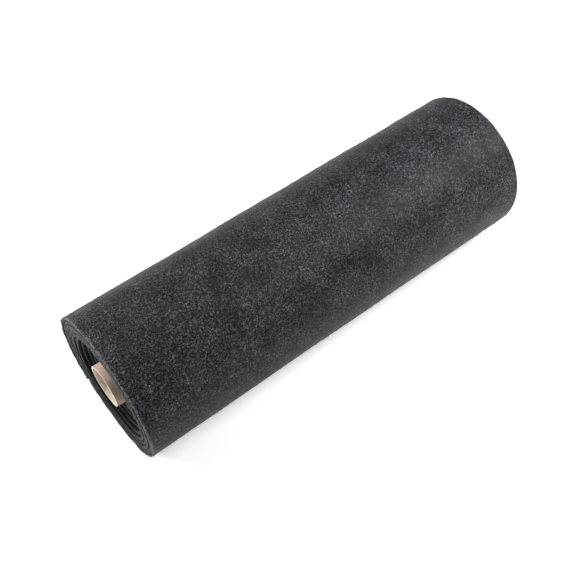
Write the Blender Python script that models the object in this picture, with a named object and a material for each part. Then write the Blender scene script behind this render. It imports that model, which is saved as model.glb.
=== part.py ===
"""A roll of charcoal felt on a cardboard tube, lying on its side.

One flat strip of thick felt is wound up on a stout paper tube, as a mill or a shop winds it. The first turns lie
loosely and have slid along the tube, so that one end of the roll is dished and the other stands out. The last
turn comes down over the back and its free end lies low down there. The roll's own weight presses a narrow flat
along its lowest line.

Frame: metres, +Z up, the tube along X, and the origin on the floor under the middle of the roll's box.
"""

import math

import bpy

# The felt strip, as cut.
FELT_WIDTH = 0.450
FELT_THICKNESS = 0.004

# The paper tube: a stock size with a 38 mm hole.
TUBE_INNER_RADIUS = 0.019
TUBE_WALL = 0.002
TUBE_LENGTH = 0.462  # cut a little longer than the felt is wide
TUBE_STANDS_OUT = 0.0012  # past the felt at the dished end

# How the roll is wound and lies.
CLEARANCE = 0.0003  # between the tube and the first turn
LOWEST_ANGLE = math.radians(270)  # angles run round from +Y over the top
FREE_END_ANGLE = math.radians(315)  # low down at the back
SAG_ANGLE = math.radians(225)  # the loose turns hang this way, down and to the front
FLAT_DEPTH = 0.0018  # how far the lowest line is pressed up
STEPS_PER_TURN = 36

# One row for each turn, from the tube outwards, in metres.
# gap: the air between this turn and the one inside it.
# slide: how far the turn has slid along the tube towards +X.
# droop: how far its centre hangs from the tube's.
TURNS = (
    {"gap": 0.0000, "slide": 0.0100, "droop": 0.00000},
    {"gap": 0.0011, "slide": 0.0096, "droop": 0.00035},
    {"gap": 0.0012, "slide": 0.0087, "droop": 0.00105},
    {"gap": 0.0012, "slide": 0.0074, "droop": 0.00185},
    {"gap": 0.0007, "slide": 0.0050, "droop": 0.00240},
    {"gap": 0.0003, "slide": 0.0022, "droop": 0.00265},
    {"gap": 0.0002, "slide": 0.0005, "droop": 0.00275},
    {"gap": 0.0002, "slide": 0.0012, "droop": 0.00280},
    {"gap": 0.0002, "slide": 0.0000, "droop": 0.00280},
    {"gap": 0.0002, "slide": 0.0010, "droop": 0.00280},
    {"gap": 0.0002, "slide": 0.0000, "droop": 0.00280},
)

TUBE_OUTER_RADIUS = TUBE_INNER_RADIUS + TUBE_WALL
FIRST_RADIUS = TUBE_OUTER_RADIUS + CLEARANCE

FELT_GREY = (0.055, 0.054, 0.062, 1.0)
TUBE_BROWN = (0.62, 0.44, 0.32, 1.0)


def clear_scene():
    for old in list(bpy.data.objects):
        bpy.data.objects.remove(old)


def make_material(name, colour, roughness):
    """A plain dielectric finish."""
    material = bpy.data.materials.new(name)
    material.use_nodes = True
    surface = material.node_tree.nodes["Principled BSDF"]
    surface.inputs["Base Color"].default_value = colour
    surface.inputs["Roughness"].default_value = roughness
    surface.inputs["Metallic"].default_value = 0.0
    return material


def read_turns(column, turn):
    """A column of TURNS at any point of the winding, straight between the middles of the rows."""
    values = [row[column] for row in TURNS]
    place = min(max(turn - 0.5, 0.0), len(values) - 1.0)
    low = min(int(place), len(values) - 2)
    share = place - low
    return values[low] * (1.0 - share) + values[low + 1] * share


def slack(turn):
    """All the air inside this point of the winding: the gaps of the whole turns, and a share of the next one."""
    whole = min(int(turn), len(TURNS) - 1)
    return sum(row["gap"] for row in TURNS[:whole]) + TURNS[whole]["gap"] * (turn - whole)


def inner_radius(turn):
    return FIRST_RADIUS + FELT_THICKNESS * turn + slack(turn)


FULL_RADIUS = inner_radius(len(TURNS) - 0.5) + FELT_THICKNESS


def turn_under(turn):
    """The place in the winding, nearest to this one, where the strip passes its lowest line."""
    last = len(TURNS) + (FREE_END_ANGLE - LOWEST_ANGLE) / (2.0 * math.pi)
    return last + round(turn - last)


def winding_point(turn, depth):
    """(y, z) from the tube's centre of a point of the winding, this far into the felt from its inner face."""
    angle = FREE_END_ANGLE - 2.0 * math.pi * (turn - len(TURNS))
    radius = inner_radius(turn) + depth
    droop = read_turns("droop", turn)
    y = radius * math.cos(angle) + droop * math.cos(SAG_ANGLE)
    z = radius * math.sin(angle) + droop * math.sin(SAG_ANGLE)
    under = turn_under(turn)
    radius_under = inner_radius(under) + depth
    press = FLAT_DEPTH * (radius_under - TUBE_OUTER_RADIUS) / (FULL_RADIUS - TUBE_OUTER_RADIUS)
    flat = read_turns("droop", under) * math.sin(SAG_ANGLE) - radius_under + press
    return y, max(z, flat)


def tube_height():
    """From the floor to the tube's centre: the pressed flat of the last turn lies on the floor."""
    return -winding_point(turn_under(len(TURNS) - 1), FELT_THICKNESS)[1]


def sweep(name, sections, closed, material):
    """One closed solid through four-cornered sections, joined end to start or capped at both ends."""
    points = [corner for section in sections for corner in section]
    count = len(sections)
    faces = []
    for step in range(count if closed else count - 1):
        here, there = 4 * step, 4 * ((step + 1) % count)
        for side in range(4):
            beside = (side + 1) % 4
            faces.append((here + side, here + beside, there + beside, there + side))
    if not closed:
        end = 4 * (count - 1)
        faces.append((3, 2, 1, 0))
        faces.append((end, end + 1, end + 2, end + 3))
    mesh = bpy.data.meshes.new(name)
    mesh.from_pydata(points, [], faces)
    mesh.materials.append(material)
    mesh.shade_smooth()
    mesh.set_sharp_from_angle(angle=math.radians(40))
    solid = bpy.data.objects.new(name, mesh)
    bpy.context.scene.collection.objects.link(solid)
    return solid


def make_felt(height, material):
    """The wound strip: inner face, outer face and two long cut edges, which slide with their turn."""
    sections = []
    for step in range(len(TURNS) * STEPS_PER_TURN + 1):
        turn = step / STEPS_PER_TURN
        slide = read_turns("slide", turn)
        near, far = slide - FELT_WIDTH / 2, slide + FELT_WIDTH / 2
        inside = winding_point(turn, 0.0)
        outside = winding_point(turn, FELT_THICKNESS)
        sections.append(
            [
                (near, inside[0], inside[1] + height),
                (near, outside[0], outside[1] + height),
                (far, outside[0], outside[1] + height),
                (far, inside[0], inside[1] + height),
            ]
        )
    return sweep("felt", sections, False, material)


def make_tube(height, material):
    """The paper tube, open from end to end."""
    near = -FELT_WIDTH / 2 - TUBE_STANDS_OUT
    far = near + TUBE_LENGTH
    sections = []
    for step in range(STEPS_PER_TURN):
        angle = -2.0 * math.pi * step / STEPS_PER_TURN
        y, z = math.cos(angle), math.sin(angle)
        sections.append(
            [
                (near, TUBE_INNER_RADIUS * y, TUBE_INNER_RADIUS * z + height),
                (near, TUBE_OUTER_RADIUS * y, TUBE_OUTER_RADIUS * z + height),
                (far, TUBE_OUTER_RADIUS * y, TUBE_OUTER_RADIUS * z + height),
                (far, TUBE_INNER_RADIUS * y, TUBE_INNER_RADIUS * z + height),
            ]
        )
    return sweep("core_tube", sections, True, material)


def centre_on_origin(solids):
    """Moves the whole roll so that its box is centred on X = 0 and Y = 0."""
    corners = [vertex.co for solid in solids for vertex in solid.data.vertices]
    for axis in (0, 1):
        middle = (min(c[axis] for c in corners) + max(c[axis] for c in corners)) / 2
        for solid in solids:
            solid.location[axis] -= middle


def main():
    clear_scene()
    height = tube_height()
    felt = make_felt(height, make_material("felt", FELT_GREY, 0.95))
    tube = make_tube(height, make_material("cardboard", TUBE_BROWN, 0.7))
    centre_on_origin([felt, tube])


main()
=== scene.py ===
"""A roll of charcoal felt, wound on a cardboard tube and laid on its side on a pale floor.

The roll is put together here as it is made: first the tube, then the long strip of felt that is wound on
it, then the loose fibres that stand up from the felt. The floor, the lamps and the camera come last. All is
in metres.
"""

import math

import bmesh
import bpy
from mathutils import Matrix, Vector, noise


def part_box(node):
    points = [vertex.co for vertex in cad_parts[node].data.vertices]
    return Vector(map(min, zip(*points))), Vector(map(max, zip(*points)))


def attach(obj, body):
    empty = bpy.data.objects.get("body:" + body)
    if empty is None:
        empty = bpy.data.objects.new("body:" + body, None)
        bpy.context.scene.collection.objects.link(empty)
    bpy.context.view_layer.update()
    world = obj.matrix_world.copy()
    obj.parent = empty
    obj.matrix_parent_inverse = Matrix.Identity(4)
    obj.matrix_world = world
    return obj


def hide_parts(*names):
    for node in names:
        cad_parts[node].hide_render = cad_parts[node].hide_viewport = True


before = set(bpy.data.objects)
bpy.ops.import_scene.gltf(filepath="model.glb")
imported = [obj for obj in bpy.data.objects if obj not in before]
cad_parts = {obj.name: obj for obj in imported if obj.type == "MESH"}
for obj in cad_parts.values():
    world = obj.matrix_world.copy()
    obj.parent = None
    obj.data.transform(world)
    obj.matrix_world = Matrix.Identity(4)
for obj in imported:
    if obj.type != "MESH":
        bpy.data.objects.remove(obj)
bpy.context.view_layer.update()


# --------------------------------------------------------------------------------------------------
# The core tube. It is made as paper tubes are: strips of board are wound slantwise round a rod and glued
# on each other, and the endless tube is cut off square at both ends. Each ply's edges meet in a fine
# slanting seam.
# --------------------------------------------------------------------------------------------------

TUBE_WALL = 0.002
TUBE_STEPS = 72  # round the tube
SEAM_GAP = 0.0008  # between the two edges of one ply
GLUE_LINE = 0.00002  # between one ply and the next
SAWN_FACING = 0.99  # a face that looks along the tube by at least this share is a sawn end

# One row for each ply, from the bore outwards.
# pitch: how far the strip moves along the tube in one turn.
# seam_at: where along the first turn its seam starts.
PLIES = (
    {"board": "pale_board", "pitch": 0.092, "seam_at": 0.018},
    {"board": "grey_board", "pitch": 0.094, "seam_at": 0.015},
    {"board": "grey_board", "pitch": 0.093, "seam_at": 0.062},
    {"board": "brown_board", "pitch": 0.095, "seam_at": 0.033},
)

# One row for each kind of board: the colour of its face and of the fibres that mottle it. The last is for
# the sawn ends of all the plies.
BOARDS = {
    "pale_board": {"face": (0.90, 0.80, 0.69), "fibre": (0.70, 0.58, 0.46)},
    "grey_board": {"face": (0.78, 0.69, 0.59), "fibre": (0.60, 0.50, 0.40)},
    "brown_board": {"face": (0.88, 0.66, 0.52), "fibre": (0.66, 0.45, 0.32)},
    "cut_board": {"face": (0.95, 0.89, 0.80), "fibre": (0.84, 0.74, 0.62)},
}


def add_node(tree, kind, **settings):
    """A node of a material or a Geometry Nodes tree, with its settings."""
    node = tree.nodes.new(kind)
    for name, value in settings.items():
        setattr(node, name, value)
    return node


def fill_input(tree, node, name, value):
    """Sets an input to a number or a colour, or links it to another node's output."""
    socket = node.inputs[name]
    if isinstance(value, bpy.types.NodeSocket):
        tree.links.new(value, socket)
    else:
        socket.default_value = value


def add_noise(tree, place, scale, detail, roughness=0.5, distortion=0.0):
    """A cloudy pattern, with its features about 1 / scale apart."""
    cloud = add_node(tree, "ShaderNodeTexNoise")
    settings = {"Vector": place, "Scale": scale, "Detail": detail, "Roughness": roughness}
    settings["Distortion"] = distortion
    for name, value in settings.items():
        fill_input(tree, cloud, name, value)
    return cloud.outputs["Fac"]


def add_range(tree, value, low, high, to_low, to_high, smooth=False):
    """Stretches the values between low and high to a new range, and holds those past its ends."""
    stretch = add_node(tree, "ShaderNodeMapRange", interpolation_type="SMOOTHSTEP" if smooth else "LINEAR")
    settings = {"Value": value, "From Min": low, "From Max": high, "To Min": to_low, "To Max": to_high}
    for name, number in settings.items():
        fill_input(tree, stretch, name, number)
    return stretch.outputs["Result"]


def add_mix(tree, share, first, second, blend="MIX"):
    """Blends two colours."""
    mix = add_node(tree, "ShaderNodeMix", data_type="RGBA", blend_type=blend)
    fill_input(tree, mix, "Factor", share)
    for name, colour in (("A", first), ("B", second)):
        socket = next(s for s in mix.inputs if s.name == name and s.type == "RGBA")
        if isinstance(colour, bpy.types.NodeSocket):
            tree.links.new(colour, socket)
        else:
            socket.default_value = (*colour, 1.0)
    return next(s for s in mix.outputs if s.type == "RGBA")


def add_bump(tree, surface, height, distance, strength=1.0):
    """Fine relief, this many metres deep from its lowest to its highest."""
    bump = add_node(tree, "ShaderNodeBump")
    fill_input(tree, bump, "Height", height)
    fill_input(tree, bump, "Distance", distance)
    fill_input(tree, bump, "Strength", strength)
    tree.links.new(bump.outputs["Normal"], surface.inputs["Normal"])


def start_material(name):
    """A new material: its node tree, its surface shader and the place on the piece in metres."""
    material = bpy.data.materials.new(name)
    material.use_nodes = True
    tree = material.node_tree
    surface = tree.nodes["Principled BSDF"]
    place = add_node(tree, "ShaderNodeTexCoord").outputs["Object"]
    return material, tree, surface, place


def board_material(name, face, fibre):
    """Uncoated board, mottled by its pulp, with a few longer fibres pressed in its face."""
    material, tree, surface, place = start_material(name)
    pulp = add_noise(tree, place, 420.0, 4.0, 0.65)
    patches = add_noise(tree, place, 60.0, 3.0)
    threads = add_noise(tree, place, 900.0, 1.0, 0.5, 1.2)
    mottled = add_mix(tree, add_range(tree, pulp, 0.40, 0.70, 0.0, 0.75), face, fibre)
    cloudy = add_mix(tree, add_range(tree, patches, 0.35, 0.75, 0.0, 0.35), mottled, fibre)
    fleck = [0.45 * channel for channel in fibre]
    flecked = add_mix(tree, add_range(tree, threads, 0.66, 0.74, 0.0, 0.5), cloudy, fleck)
    fill_input(tree, surface, "Base Color", flecked)
    fill_input(tree, surface, "Roughness", add_range(tree, pulp, 0.3, 0.7, 0.62, 0.86))
    surface.inputs["Specular IOR Level"].default_value = 0.35
    add_bump(tree, surface, pulp, 0.00012, 0.6)
    return material


def link_mesh(name, bm, materials):
    """Turns a bmesh into an object of the scene, shaded smooth but for its sharp edges."""
    mesh = bpy.data.meshes.new(name)
    bm.to_mesh(mesh)
    bm.free()
    for material in materials:
        mesh.materials.append(material)
    mesh.shade_smooth()
    mesh.set_sharp_from_angle(angle=math.radians(38))
    piece = bpy.data.objects.new(name, mesh)
    bpy.context.scene.collection.objects.link(piece)
    return piece


def wind_ply(bm, row, inner, outer, near, far, centre, material_index):
    """Winds one ply past both ends of the tube, then cuts it off square and closes the cuts."""
    pitch = row["pitch"]
    turns = math.ceil((far - near) / pitch) + 2
    start = near - 2.0 * pitch + row["seam_at"]
    ply = bmesh.new()
    rings = []
    for step in range(turns * TUBE_STEPS + 1):
        angle = 2.0 * math.pi * step / TUBE_STEPS
        along = start + pitch * step / TUBE_STEPS
        across = (along + SEAM_GAP / 2, along + pitch - SEAM_GAP / 2)
        corners = ((across[0], inner), (across[0], outer), (across[1], outer), (across[1], inner))
        ring = []
        for x, radius in corners:
            y = centre.y + radius * math.cos(angle)
            z = centre.z + radius * math.sin(angle)
            ring.append(ply.verts.new((x, y, z)))
        rings.append(ring)
    for here, there in zip(rings, rings[1:]):
        for side in range(4):
            beside = (side + 1) % 4
            ply.faces.new((here[side], there[side], there[beside], here[beside]))
    ply.faces.new(rings[0])
    ply.faces.new(reversed(rings[-1]))
    for x, outwards in ((near, -1.0), (far, 1.0)):
        everything = ply.verts[:] + ply.edges[:] + ply.faces[:]
        saw = {"plane_co": (x, 0, 0), "plane_no": (outwards, 0, 0), "clear_outer": True}
        bmesh.ops.bisect_plane(ply, geom=everything, **saw)
        open_edges = [edge for edge in ply.edges if edge.is_boundary]
        bmesh.ops.holes_fill(ply, edges=open_edges, sides=0)
    bmesh.ops.recalc_face_normals(ply, faces=ply.faces[:])
    for face in ply.faces:
        sawn = abs(face.normal.x) > SAWN_FACING
        face.material_index = list(BOARDS).index("cut_board") if sawn else material_index
    wound = bpy.data.meshes.new("ply")
    ply.to_mesh(wound)
    ply.free()
    bm.from_mesh(wound)
    bpy.data.meshes.remove(wound)


tube_low, tube_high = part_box("core_tube")
tube_centre = (Vector(tube_low) + Vector(tube_high)) / 2
tube_radius = (tube_high[1] - tube_low[1]) / 2
ply_thickness = TUBE_WALL / len(PLIES)

tube_mesh = bmesh.new()
for layer, ply_row in enumerate(PLIES):
    ply_inner = tube_radius - TUBE_WALL + layer * ply_thickness
    ply_outer = ply_inner + ply_thickness - GLUE_LINE
    board_index = list(BOARDS).index(ply_row["board"])
    wind_ply(tube_mesh, ply_row, ply_inner, ply_outer, tube_low[0], tube_high[0], tube_centre, board_index)

boards = [board_material(name, colours["face"], colours["fibre"]) for name, colours in BOARDS.items()]
tube = link_mesh("paper_tube", tube_mesh, boards)
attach(tube, "root")
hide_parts("core_tube")


# --------------------------------------------------------------------------------------------------
# The felt. One long strip, needled from grey and black fibres and cut straight along both edges, is wound
# on the tube. Its first turns are loose and have slid in along the tube, the last ones grip each other, its
# free end lies low down at the back, and the roll's weight presses a narrow flat along its lowest line.
# --------------------------------------------------------------------------------------------------

FELT_WIDTH = 0.450
FELT_THICKNESS = 0.004
TUBE_CLEARANCE = 0.0003  # between the tube and the first turn
LOWEST_ANGLE = math.radians(270)  # angles run round from +Y over the top
FREE_END_ANGLE = math.radians(315)
SAG_ANGLE = math.radians(225)
OVAL_ANGLE = math.radians(27)  # the loose turns are a little wider this way
LEAN_ANGLE = math.radians(330)  # the last turns lean out of the dished end most, this way
FLAT_DEPTH = 0.0018  # how far the lowest line is pressed up
STATION_SPACING = 0.004  # between the points along the strip
EDGE_ROUNDING = 0.0011  # the soft corners of the cut edges
EDGE_WANDER = 0.0005  # how far the cut strays from a straight line
INNER_TURNS_SHADED_PALE = 0.45  # painted shade inside the dished end: the turns inside the last one keep this share of its pale fuzz
INNER_CORNER_SHADED_PALE = 0.10  # painted shade in the gap between turns: the cut's inner corner keeps this share of the outer one's pale fuzz
EDGE_LEAN = 0.0020  # how far the last turns lean out of the dished end at the back
SWELL = 0.0006  # how far the lumps of the winding stand out
FAR_SPREAD = 0.0016  # how much wider the last turns are at the far end
END_LIFT = 0.0012  # how far the free end springs off the turn below it
END_LIFT_TURNS = 0.06  # the part of the last turn that springs off
LAST_TURN = 1.02  # the open face starts this many turns from the free end, just under it
OUTSIDE_DEPTH = 0.0004  # points no deeper than this are on the felt's outside
FIBRE_ROOM = 0.003  # no fibres grow lower than this, where the felt is pressed on the floor

# One row for each turn, from the tube outwards, in metres.
# gap: the air between this turn and the one inside it.
# slide: how far the turn has slid along the tube towards +X.
# droop: how far its centre hangs from the tube's.
# oval: how much wider it is one way than round.
# lean: its share of the lean at the back.
TURNS = (
    {"gap": 0.0000, "slide": 0.0100, "droop": 0.00000, "oval": 0.0000, "lean": 0.0},
    {"gap": 0.0011, "slide": 0.0096, "droop": 0.00035, "oval": 0.0001, "lean": 0.0},
    {"gap": 0.0012, "slide": 0.0087, "droop": 0.00105, "oval": 0.0003, "lean": 0.0},
    {"gap": 0.0012, "slide": 0.0074, "droop": 0.00185, "oval": 0.0004, "lean": 0.0},
    {"gap": 0.0007, "slide": 0.0050, "droop": 0.00240, "oval": 0.0004, "lean": 0.2},
    {"gap": 0.0003, "slide": 0.0022, "droop": 0.00265, "oval": 0.0004, "lean": 0.5},
    {"gap": 0.0002, "slide": 0.0005, "droop": 0.00275, "oval": 0.0004, "lean": 0.7},
    {"gap": 0.0002, "slide": 0.0012, "droop": 0.00280, "oval": 0.0004, "lean": 0.8},
    {"gap": 0.0002, "slide": 0.0000, "droop": 0.00280, "oval": 0.0003, "lean": 0.9},
    {"gap": 0.0002, "slide": 0.0010, "droop": 0.00280, "oval": 0.0002, "lean": 1.0},
    {"gap": 0.0002, "slide": 0.0000, "droop": 0.00280, "oval": 0.0001, "lean": 1.0},
)

# How far each row of points lies from the cut edge, as shares of the width: close by the edges, and wider
# apart between them.
ROWS_BY_EDGE = [0.006, 0.016, 0.034]
ROWS_BETWEEN = [0.065 + 0.87 * step / 20 for step in range(21)]
ROWS_ACROSS = ROWS_BY_EDGE + ROWS_BETWEEN + [1.0 - share for share in reversed(ROWS_BY_EDGE)]

# The rounded corner of a cut edge, from the felt's face to the middle of the cut.
# within, down: how far in from the cut and down from the face, as shares of EDGE_ROUNDING.
# cut: how much of the cut's pale fuzz shows.
CORNER = (
    {"within": 2.2, "down": 0.0, "cut": 0.0},
    {"within": 1.0, "down": 0.02, "cut": 0.35},
    {"within": 0.29, "down": 0.29, "cut": 0.8},
    {"within": 0.0, "down": 1.0, "cut": 1.0},
)

# One row for each size of lump in the winding: how many to a metre, and its share of SWELL.
LUMPS = ({"per_metre": 19.0, "share": 1.0}, {"per_metre": 61.0, "share": 0.35})

# One row for each size of waver in the cut: how many to a metre, its share of EDGE_WANDER, and where its
# pattern starts.
WAVERS = ({"per_metre": 70.0, "share": 1.0, "start": 0.0}, {"per_metre": 260.0, "share": 0.5, "start": 5.0})
EDGES_APART = 3.0  # between the wavers of the two edges, so that they differ

# One row for each size of pale curl in the felt's face.
# scale: how many to a metre. width: of the thread, as a share of the pattern's range. kept: how much of it
# shows. shift: where its pattern starts. strength: how pale it is.
CURLS = {
    "fine": {"scale": 1150.0, "width": 0.060, "kept": 0.46, "shift": (0.0, 0.43, 0.29), "strength": 0.40},
    "medium": {"scale": 860.0, "width": 0.050, "kept": 0.40, "shift": (0.31, 0.17, 0.0), "strength": 0.75},
    "coarse": {"scale": 600.0, "width": 0.044, "kept": 0.38, "shift": (0.0, 0.0, 0.0), "strength": 0.65},
}

# The felt's colours: its hollows (also the painted shade between turns), its ground, the down on it, its pale
# curls and the brightest ends, and then the dark and the pale of its cut edges.
FELT_BLACK = (0.0020, 0.0019, 0.0027)
FELT_DARK = (0.0042, 0.0040, 0.0056)
FELT_MIDDLE = (0.0082, 0.0079, 0.0104)
FELT_PALE = (0.282, 0.272, 0.325)
FELT_SPARK = (0.420, 0.416, 0.450)
FELT_CUT_DARK = (0.012, 0.0118, 0.0128)
FELT_CUT_PALE = (0.340, 0.337, 0.345)

felt_low, felt_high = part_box("felt")
first_radius = tube_radius + TUBE_CLEARANCE


def read_turns(column, turn):
    """A column of TURNS at any point of the winding, straight between the middles of the rows."""
    values = [row[column] for row in TURNS]
    place = min(max(turn - 0.5, 0.0), len(values) - 1.0)
    low = min(int(place), len(values) - 2)
    share = place - low
    return values[low] * (1.0 - share) + values[low + 1] * share


def inner_radius(turn):
    """The winding's radius: all the felt inside this point, and all the air."""
    whole = min(int(turn), len(TURNS) - 1)
    air = sum(row["gap"] for row in TURNS[:whole]) + TURNS[whole]["gap"] * (turn - whole)
    return first_radius + FELT_THICKNESS * turn + air


full_radius = inner_radius(len(TURNS) - 0.5) + FELT_THICKNESS


def turn_under(turn):
    """The place in the winding, nearest to this one, where the strip passes its lowest line."""
    last = len(TURNS) + (FREE_END_ANGLE - LOWEST_ANGLE) / (2.0 * math.pi)
    return last + round(turn - last)


def felt_point(turn, along, across, depth):
    """A point of the wound strip: how far along it, across from its middle, and out from its inner face."""
    angle = FREE_END_ANGLE - 2.0 * math.pi * (turn - len(TURNS))
    facing = Vector((0.0, math.cos(angle), math.sin(angle)))
    far_share = 0.5 + across / FELT_WIDTH
    near_share = 1.0 - far_share
    radius = inner_radius(turn) + depth
    share_out = (radius - tube_radius) / (full_radius - tube_radius)
    lump_place = Vector((across, full_radius * facing.y, full_radius * facing.z))
    lumps = sum(row["share"] * noise.noise(lump_place * row["per_metre"]) for row in LUMPS)
    radius += read_turns("oval", turn) * math.cos(2.0 * (angle - OVAL_ANGLE))
    radius += share_out**2 * (SWELL * lumps + FAR_SPREAD * far_share**2)
    radius += END_LIFT * max(1.0 - (len(TURNS) - turn) / END_LIFT_TURNS, 0.0) ** 2
    droop = read_turns("droop", turn)
    y = radius * facing.y + droop * math.cos(SAG_ANGLE)
    z = radius * facing.z + droop * math.sin(SAG_ANGLE)
    under = turn_under(turn)
    radius_under = inner_radius(under) + depth
    press = FLAT_DEPTH * (radius_under - tube_radius) / (full_radius - tube_radius)
    flat = read_turns("droop", under) * math.sin(SAG_ANGLE) - radius_under + press
    wander = 0.0
    for row in WAVERS:
        waver_place = Vector((along * row["per_metre"], row["start"], EDGES_APART * near_share))
        wander += row["share"] * noise.noise(waver_place)
    lean = EDGE_LEAN * read_turns("lean", turn) * (0.5 + 0.5 * math.cos(angle - LEAN_ANGLE))
    waver = EDGE_WANDER * wander * (2.0 * near_share - 1.0)
    x = across + read_turns("slide", turn) - lean * near_share + waver
    return Vector((felt_low[0] + FELT_WIDTH / 2 + x, tube_centre.y + y, tube_centre.z + max(z, flat)))


def felt_section():
    """The strip's outline across its width, with soft corners: (across, depth, how much it is cut edge)."""
    half = FELT_WIDTH / 2
    corner = []
    for row in CORNER:
        corner.append((-half + row["within"] * EDGE_ROUNDING, row["down"] * EDGE_ROUNDING, row["cut"]))
    # The inner corner keeps only a share of the pale, as painted shade in the gap between turns.
    near_edge = [(across, depth, INNER_CORNER_SHADED_PALE * cut) for across, depth, cut in corner]
    near_edge += [(-half, FELT_THICKNESS / 2, (1.0 + INNER_CORNER_SHADED_PALE) / 2)]
    near_edge += [(across, FELT_THICKNESS - depth, cut) for across, depth, cut in reversed(corner)]
    rows = [-half + FELT_WIDTH * share for share in ROWS_ACROSS]
    outside = [(across, FELT_THICKNESS, 0.0) for across in rows]
    far_edge = [(-across, depth, cut) for across, depth, cut in reversed(near_edge)]
    inside = [(across, 0.0, 0.0) for across in reversed(rows)]
    return near_edge + outside + far_edge + inside


def felt_stations():
    """Evenly spaced places along the strip, as (turn, metres from the inner end)."""
    places = [(0.0, 0.0)]
    while places[-1][0] < len(TURNS):
        turn, along = places[-1]
        radius = inner_radius(turn) + FELT_THICKNESS / 2
        places.append((turn + STATION_SPACING / (2.0 * math.pi * radius), along + STATION_SPACING))
    places[-1] = (float(len(TURNS)), places[-1][1])
    return places


section = felt_section()
stations = felt_stations()

# The felt carries four marks, each 1 where it holds in full: cut_edge, the pale cut, lowered as painted shade
# on the inner turns and the cut's inner corner; outside, the open face of the last turn; fringe, the cut that
# is clear of the floor; and the gap shade mark, painted shade where another turn lies against the felt.
felt_mesh = bmesh.new()
cut_layer = felt_mesh.verts.layers.float.new("cut_edge")
outside_layer = felt_mesh.verts.layers.float.new("outside")
fringe_layer = felt_mesh.verts.layers.float.new("fringe")
painted_gap_shade_layer = felt_mesh.verts.layers.float.new("painted_gap_shade")
felt_uv = felt_mesh.loops.layers.uv.new("strip")
felt_rings = []
for turn, along in stations:
    last_turn = turn > len(TURNS) - LAST_TURN
    ring = []
    for across, depth, cut in section:
        vert = felt_mesh.verts.new(felt_point(turn, along, across, depth))
        # The inner turns' cut edges are painted darker, as shade inside the dished end.
        vert[cut_layer] = cut if last_turn else INNER_TURNS_SHADED_PALE * cut
        open_side = last_turn and depth > FELT_THICKNESS / 2
        open_face = last_turn and depth > FELT_THICKNESS - OUTSIDE_DEPTH
        off_floor = vert.co.z > FIBRE_ROOM
        # Painted shade: the gap shade mark is near 1 where another turn lies against the felt and by the
        # cut's inner corner.
        vert[painted_gap_shade_layer] = 0.0 if open_side else 1.0 - cut
        vert[fringe_layer] = vert[cut_layer] if off_floor else 0.0
        vert[outside_layer] = 1.0 if open_face and off_floor else 0.0
        ring.append(vert)
    felt_rings.append(ring)
for here, there, place, next_place in zip(felt_rings, felt_rings[1:], stations, stations[1:]):
    for side in range(len(section)):
        beside = (side + 1) % len(section)
        face = felt_mesh.faces.new((here[side], here[beside], there[beside], there[side]))
        spots = ((place, side), (place, beside), (next_place, beside), (next_place, side))
        for loop, (station, corner) in zip(face.loops, spots):
            loop[felt_uv].uv = (station[1], section[corner][0] + section[corner][1])
felt_mesh.faces.new(reversed(felt_rings[0]))
felt_mesh.faces.new(felt_rings[-1])
felt_mesh.normal_update()


def add_math(tree, operation, *values):
    """One sum on numbers or on other nodes' outputs."""
    sums = add_node(tree, "ShaderNodeMath", operation=operation)
    for index, value in enumerate(values):
        fill_input(tree, sums, index, value)
    return sums.outputs["Value"]


def add_curls(tree, place, row):
    """Short curly threads: the level line of one cloudy pattern, broken up by another."""
    moved = add_node(tree, "ShaderNodeMapping")
    fill_input(tree, moved, "Vector", place)
    moved.inputs["Location"].default_value = row["shift"]
    pattern = add_noise(tree, moved.outputs["Vector"], row["scale"], 1.0, 0.5, 1.1)
    breaks = add_noise(tree, moved.outputs["Vector"], 0.62 * row["scale"], 1.0)
    off_line = add_math(tree, "ABSOLUTE", add_math(tree, "SUBTRACT", pattern, 0.5))
    line = add_range(tree, off_line, 0.25 * row["width"], row["width"], 1.0, 0.0, smooth=True)
    shows_past = 0.62 - 0.3 * row["kept"]
    shows = add_range(tree, breaks, shows_past, shows_past + 0.10, 0.0, 1.0, smooth=True)
    return add_math(tree, "MULTIPLY", line, shows)


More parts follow.
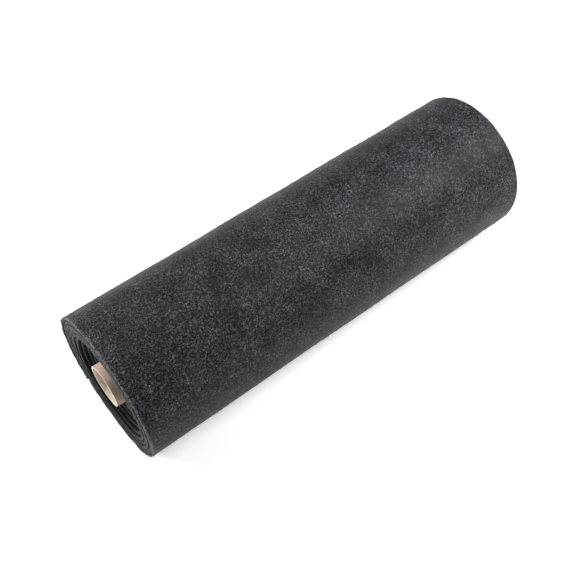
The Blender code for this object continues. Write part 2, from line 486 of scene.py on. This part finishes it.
def felt_material():
    """Needled felt: pale curly fibres over black ones, cloudy where they were carded thick or thin. It is
    grey and fuzzy where it is cut, darker on the inner turns as painted shade, and painted nearly black,
    as shade, where another turn lies against it."""
    material, tree, surface, place = start_material("charcoal_felt")
    curls = {size: add_curls(tree, place, row) for size, row in CURLS.items()}
    hollows = add_noise(tree, place, 620.0, 2.0, 0.6)
    grain = add_noise(tree, place, 1500.0, 2.0, 0.6)
    clouds = add_noise(tree, place, 42.0, 3.0, 0.6)
    patches = add_noise(tree, place, 130.0, 2.0, 0.55)
    ground = add_mix(tree, add_range(tree, hollows, 0.38, 0.60, 0.0, 1.0), FELT_BLACK, FELT_DARK)
    curled = add_mix(tree, add_range(tree, grain, 0.42, 0.70, 0.0, 0.75), ground, FELT_MIDDLE)
    for size, row in CURLS.items():
        curled = add_mix(tree, add_math(tree, "MULTIPLY", curls[size], row["strength"]), curled, FELT_PALE)
    dots = add_noise(tree, place, 980.0, 1.0, 0.5, 0.6)
    sparks = add_range(tree, dots, 0.66, 0.72, 0.0, 0.95, smooth=True)
    flecked = add_mix(tree, sparks, curled, FELT_SPARK)
    shade = add_math(
        tree,
        "MULTIPLY",
        add_range(tree, clouds, 0.34, 0.66, 0.42, 1.00),
        add_range(tree, patches, 0.32, 0.68, 0.90, 1.10),
    )
    shaded = add_node(tree, "ShaderNodeVectorMath", operation="SCALE")
    fill_input(tree, shaded, "Vector", flecked)
    fill_input(tree, shaded, "Scale", shade)
    # cut_edge is lower on the inner turns and on the cut's inner corner, as painted shade.
    cut = add_node(tree, "ShaderNodeAttribute", attribute_name="cut_edge").outputs["Fac"]
    cut_ends = add_math(tree, "MULTIPLY_ADD", curls["fine"], 0.2, hollows)
    cut_fuzz = add_range(tree, cut_ends, 0.38, 0.66, 0.0, 1.0)
    cut_colour = add_mix(tree, cut_fuzz, FELT_CUT_DARK, FELT_CUT_PALE)
    edged = add_mix(tree, add_range(tree, cut, 0.03, 0.65, 0.0, 0.9), shaded.outputs["Vector"], cut_colour)
    # Painted shade: the felt turns nearly black where another turn lies against it, in the gaps between
    # turns.
    painted_gap_shade = add_node(tree, "ShaderNodeAttribute", attribute_name="painted_gap_shade").outputs["Fac"]
    colour = add_mix(tree, add_range(tree, painted_gap_shade, 0.0, 0.55, 0.0, 0.97), edged, FELT_BLACK)
    fill_input(tree, surface, "Base Color", colour)
    fill_input(tree, surface, "Roughness", add_range(tree, grain, 0.3, 0.7, 0.42, 0.56))
    surface.inputs["Specular IOR Level"].default_value = 0.15
    surface.inputs["Sheen Weight"].default_value = 0.02
    surface.inputs["Sheen Roughness"].default_value = 0.45
    surface.inputs["Sheen Tint"].default_value = (0.80, 0.80, 0.84, 1.0)
    relief = add_math(tree, "MULTIPLY_ADD", curls["coarse"], 0.6, hollows)
    relief = add_math(tree, "MULTIPLY_ADD", curls["medium"], 0.5, relief)
    add_bump(tree, surface, relief, 0.0006, 0.9)
    return material


charcoal_felt = felt_material()
felt = link_mesh("wound_felt", felt_mesh, [charcoal_felt])


# --------------------------------------------------------------------------------------------------
# The loose fibres. Needling leaves short curly ends standing up all over the felt, and the knife leaves a
# fringe of cut ones along both edges. They are of the felt's own wool and hold in it by their roots.
# --------------------------------------------------------------------------------------------------

CURL_KINDS = 5
CURL_POINTS = 6  # along each fibre
CURL_SIDES = 3  # round it
LEAST_BEND = math.radians(110)  # of the straightest kind of fibre
MORE_BEND = math.radians(48)  # from one kind to the next
SWAY = 0.16  # to either side, as a share of the length
SWAY_WAVES = 5.0
SWAY_SHIFT = 0.9  # from one kind to the next
GROWS_WHERE = 0.26  # a crop grows where its mark is over this
TILT = 0.25  # a fibre leans this way or that by at most this, in radians
SIZES = (0.55, 1.35)  # the smallest and the largest fibre, as shares of the length and the width
FIBRE_COLOUR = (0.150, 0.146, 0.166)

# One row for each crop of fibres.
# grows_on: the felt's mark that is 1 where they grow.
# per_area: how many on a square metre. length and width: of one fibre, in metres.
# stands: how high its middle stands off the felt, as a share of its length. seed: settles where they fall.
CROPS = {
    "surface_fibres": {
        "grows_on": "outside",
        "per_area": 30000.0,
        "length": 0.0050,
        "width": 0.00016,
        "stands": 0.10,
        "seed": 11,
    },
    "edge_fibres": {
        "grows_on": "fringe",
        "per_area": 260000.0,
        "length": 0.0024,
        "width": 0.00016,
        "stands": 0.30,
        "seed": 12,
    },
}


def fibre_material():
    """Single wool fibres, some dark grey and some paler."""
    material, tree, surface, place = start_material("loose_fibre")
    dye = add_noise(tree, place, 160.0, 2.0)
    dark = [0.35 * channel for channel in FIBRE_COLOUR]
    colour = add_mix(tree, add_range(tree, dye, 0.38, 0.62, 0.0, 1.0), dark, FIBRE_COLOUR)
    fill_input(tree, surface, "Base Color", colour)
    surface.inputs["Roughness"].default_value = 0.75
    surface.inputs["Specular IOR Level"].default_value = 0.25
    return material


def add_input(group, name, kind, value):
    """A named input of a Geometry Nodes tree, with its starting value."""
    socket = group.interface.new_socket(name, in_out="INPUT", socket_type=kind)
    socket.default_value = value


def add_curl(tree, sizes, kind):
    """One kind of curled fibre, lying on its XY plane with both ends in the felt and its middle raised."""
    sway_start = 1.0 + SWAY_SHIFT * kind
    bend = LEAST_BEND + MORE_BEND * kind
    line = add_node(tree, "GeometryNodeCurveArc", mode="RADIUS")
    line.inputs["Resolution"].default_value = CURL_POINTS
    line.inputs["Sweep Angle"].default_value = bend
    fill_input(tree, line, "Radius", add_math(tree, "DIVIDE", sizes["Length"], bend))
    share = add_node(tree, "GeometryNodeSplineParameter").outputs["Factor"]
    arch = add_math(tree, "SINE", add_math(tree, "MULTIPLY", share, math.pi))
    height = add_math(tree, "MULTIPLY", add_math(tree, "MULTIPLY", sizes["Length"], sizes["Stands"]), arch)
    sway = add_math(tree, "SINE", add_math(tree, "MULTIPLY_ADD", share, SWAY_WAVES, sway_start))
    offset = add_node(tree, "ShaderNodeCombineXYZ")
    widest = add_math(tree, "MULTIPLY", sizes["Length"], SWAY)
    fill_input(tree, offset, "X", add_math(tree, "MULTIPLY", widest, sway))
    fill_input(tree, offset, "Z", add_math(tree, "SUBTRACT", height, sizes["Width"]))
    bent = add_node(tree, "GeometryNodeSetPosition")
    fill_input(tree, bent, "Geometry", line.outputs["Curve"])
    fill_input(tree, bent, "Offset", offset.outputs["Vector"])
    outline = add_node(tree, "GeometryNodeCurvePrimitiveCircle", mode="RADIUS")
    outline.inputs["Resolution"].default_value = CURL_SIDES
    fill_input(tree, outline, "Radius", add_math(tree, "DIVIDE", sizes["Width"], 2.0))
    solid = add_node(tree, "GeometryNodeCurveToMesh")
    fill_input(tree, solid, "Curve", bent.outputs["Geometry"])
    fill_input(tree, solid, "Profile Curve", outline.outputs["Curve"])
    solid.inputs["Fill Caps"].default_value = True
    curl = add_node(tree, "GeometryNodeGeometryToInstance")
    fill_input(tree, curl, "Geometry", solid.outputs["Mesh"])
    return curl.outputs["Instances"]


def fibre_tree(material):
    """Scatters curls over the faces that the named mark holds for, each turned its own way."""
    tree = bpy.data.node_groups.new("loose_fibres", "GeometryNodeTree")
    tree.interface.new_socket("Geometry", in_out="INPUT", socket_type="NodeSocketGeometry")
    add_input(tree, "Grows on", "NodeSocketString", "outside")
    add_input(tree, "Per area", "NodeSocketFloat", 1000.0)
    add_input(tree, "Length", "NodeSocketFloat", 0.004)
    add_input(tree, "Width", "NodeSocketFloat", 0.0001)
    add_input(tree, "Stands", "NodeSocketFloat", 0.1)
    add_input(tree, "Seed", "NodeSocketInt", 1)
    tree.interface.new_socket("Geometry", in_out="OUTPUT", socket_type="NodeSocketGeometry")
    sizes = add_node(tree, "NodeGroupInput").outputs
    mark = add_node(tree, "GeometryNodeInputNamedAttribute", data_type="FLOAT")
    fill_input(tree, mark, "Name", sizes["Grows on"])
    grows = add_node(tree, "FunctionNodeCompare", data_type="FLOAT", operation="GREATER_THAN")
    fill_input(tree, grows, "A", mark.outputs["Attribute"])
    grows.inputs["B"].default_value = GROWS_WHERE
    roots = add_node(tree, "GeometryNodeDistributePointsOnFaces", distribute_method="RANDOM")
    fill_input(tree, roots, "Mesh", sizes["Geometry"])
    fill_input(tree, roots, "Selection", grows.outputs["Result"])
    fill_input(tree, roots, "Density", sizes["Per area"])
    fill_input(tree, roots, "Seed", sizes["Seed"])
    curls = add_node(tree, "GeometryNodeJoinGeometry")
    for kind in range(CURL_KINDS):
        tree.links.new(add_curl(tree, sizes, kind), curls.inputs["Geometry"])
    chosen = add_node(tree, "FunctionNodeRandomValue", data_type="INT")
    chosen.inputs[4].default_value = 0
    chosen.inputs[5].default_value = CURL_KINDS - 1
    fill_input(tree, chosen, "Seed", sizes["Seed"])
    spin = add_node(tree, "FunctionNodeRandomValue", data_type="FLOAT_VECTOR")
    spin.inputs[0].default_value = (-TILT, -TILT, -math.pi)
    spin.inputs[1].default_value = (TILT, TILT, math.pi)
    fill_input(tree, spin, "Seed", sizes["Seed"])
    turned = add_node(tree, "FunctionNodeRotateRotation", rotation_space="LOCAL")
    fill_input(tree, turned, "Rotation", roots.outputs["Rotation"])
    fill_input(tree, turned, "Rotate By", spin.outputs["Value"])
    size = add_node(tree, "FunctionNodeRandomValue", data_type="FLOAT")
    size.inputs[2].default_value = SIZES[0]
    size.inputs[3].default_value = SIZES[1]
    fill_input(tree, size, "Seed", sizes["Seed"])
    planted = add_node(tree, "GeometryNodeInstanceOnPoints")
    fill_input(tree, planted, "Points", roots.outputs["Points"])
    fill_input(tree, planted, "Instance", curls.outputs["Geometry"])
    planted.inputs["Pick Instance"].default_value = True
    fill_input(tree, planted, "Instance Index", chosen.outputs[2])
    fill_input(tree, planted, "Rotation", turned.outputs["Rotation"])
    fill_input(tree, planted, "Scale", size.outputs[1])
    real = add_node(tree, "GeometryNodeRealizeInstances")
    fill_input(tree, real, "Geometry", planted.outputs["Instances"])
    painted = add_node(tree, "GeometryNodeSetMaterial")
    fill_input(tree, painted, "Geometry", real.outputs["Geometry"])
    painted.inputs["Material"].default_value = material
    end = add_node(tree, "NodeGroupOutput")
    fill_input(tree, end, "Geometry", painted.outputs["Geometry"])
    return tree


def grow_fibres(name, tree, row):
    """Runs the tree on a copy of the felt and keeps only the fibres, as a plain mesh."""
    bed = felt.copy()
    bpy.context.scene.collection.objects.link(bed)
    modifier = bed.modifiers.new("fibres", "NODES")
    modifier.node_group = tree
    values = {
        "Grows on": row["grows_on"],
        "Per area": row["per_area"],
        "Length": row["length"],
        "Width": row["width"],
        "Stands": row["stands"],
        "Seed": row["seed"],
    }
    for socket in tree.interface.items_tree:
        if socket.name in values:
            modifier[socket.identifier] = values[socket.name]
    graph = bpy.context.evaluated_depsgraph_get()
    mesh = bpy.data.meshes.new_from_object(bed.evaluated_get(graph))
    mesh.name = name
    bpy.data.objects.remove(bed)
    fibres = bpy.data.objects.new(name, mesh)
    bpy.context.scene.collection.objects.link(fibres)
    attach(fibres, "root")
    return fibres


loose_fibres = fibre_tree(fibre_material())
crops = [grow_fibres(name, loose_fibres, row) for name, row in CROPS.items()]

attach(felt, "root")
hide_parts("felt")


# --------------------------------------------------------------------------------------------------
# The floor, the lamps and the camera. The floor is a white sheet with light behind it, and three soft lamps
# stand over it: a near one for the front, a wide one over the back, and one past the dished end.
# --------------------------------------------------------------------------------------------------

FLOOR_SIZE = 8.0
ROOM_LIGHT = 0.11  # on the roll
ROOM_SEEN = 0.92  # the room as it looks, past the floor
FLOOR_SEEN_GLOW = 0.47  # the floor as it looks, lit from below as well
FLOOR_GLOW = 0.22  # how much of that glow reaches the roll
CAMERA_FROM_ROLL_END = (-0.0940, -0.3755, 0.6295)  # from the middle of the roll's dished end
CAMERA_TURN = (math.radians(36.18), 0.0, math.radians(-38.55))
CAMERA_LENS = 50.66

# One row for each lamp: where it stands, what it is aimed at, its size and its power.
LAMPS = {
    "key_softbox": {"place": (0.52, -0.29, 0.64), "aim": (0.12, 0.0, 0.10), "size": 0.30, "watts": 6.9},
    "back_softbox": {"place": (-0.10, 0.75, 1.60), "aim": (0.0, 0.0, 0.07), "size": 1.20, "watts": 14.0},
    "left_softbox": {"place": (-1.10, 0.75, 0.75), "aim": (-0.20, 0.0, 0.07), "size": 0.40, "watts": 13.0},
}

floor_mesh = bmesh.new()
bmesh.ops.create_grid(floor_mesh, x_segments=1, y_segments=1, size=FLOOR_SIZE / 2)
floor_paint, floor_tree, floor_surface = start_material("pale_floor")[:3]
floor_surface.inputs["Base Color"].default_value = (0.93, 0.93, 0.935, 1.0)
floor_surface.inputs["Roughness"].default_value = 0.9
floor_surface.inputs["Specular IOR Level"].default_value = 0.1
floor_surface.inputs["Emission Color"].default_value = (1.0, 1.0, 1.0, 1.0)
floor_seen = add_node(floor_tree, "ShaderNodeLightPath").outputs["Is Camera Ray"]
floor_glow = add_math(floor_tree, "MULTIPLY_ADD", floor_seen, FLOOR_SEEN_GLOW - FLOOR_GLOW, FLOOR_GLOW)
fill_input(floor_tree, floor_surface, "Emission Strength", floor_glow)
floor = link_mesh("floor", floor_mesh, [floor_paint])

room = bpy.data.worlds.new("room")
room.use_nodes = True
room_tree = room.node_tree
room_tree.nodes["Background"].inputs["Color"].default_value = (1.0, 1.0, 1.0, 1.0)
room_seen = add_node(room_tree, "ShaderNodeLightPath").outputs["Is Camera Ray"]
room_strength = add_math(room_tree, "MULTIPLY_ADD", room_seen, ROOM_SEEN - ROOM_LIGHT, ROOM_LIGHT)
fill_input(room_tree, room_tree.nodes["Background"], "Strength", room_strength)
bpy.context.scene.world = room

for lamp_name, row in LAMPS.items():
    light = bpy.data.lights.new(lamp_name, "AREA")
    light.shape = "SQUARE"
    light.size = row["size"]
    light.energy = row["watts"]
    lamp = bpy.data.objects.new(lamp_name, light)
    lamp.location = row["place"]
    lamp.rotation_euler = (Vector(row["aim"]) - Vector(row["place"])).to_track_quat("-Z", "Y").to_euler()
    lamp.visible_camera = False
    bpy.context.scene.collection.objects.link(lamp)

roll_end = Vector((felt_low[0], (felt_low[1] + felt_high[1]) / 2, (felt_low[2] + felt_high[2]) / 2))
camera_data = bpy.data.cameras.new("camera")
camera_data.lens = CAMERA_LENS
camera_data.sensor_width = 36.0
camera = bpy.data.objects.new("camera", camera_data)
camera.location = roll_end + Vector(CAMERA_FROM_ROLL_END)
camera.rotation_euler = CAMERA_TURN
bpy.context.scene.collection.objects.link(camera)
bpy.context.scene.camera = camera
bpy.context.scene.view_settings.view_transform = "Standard"
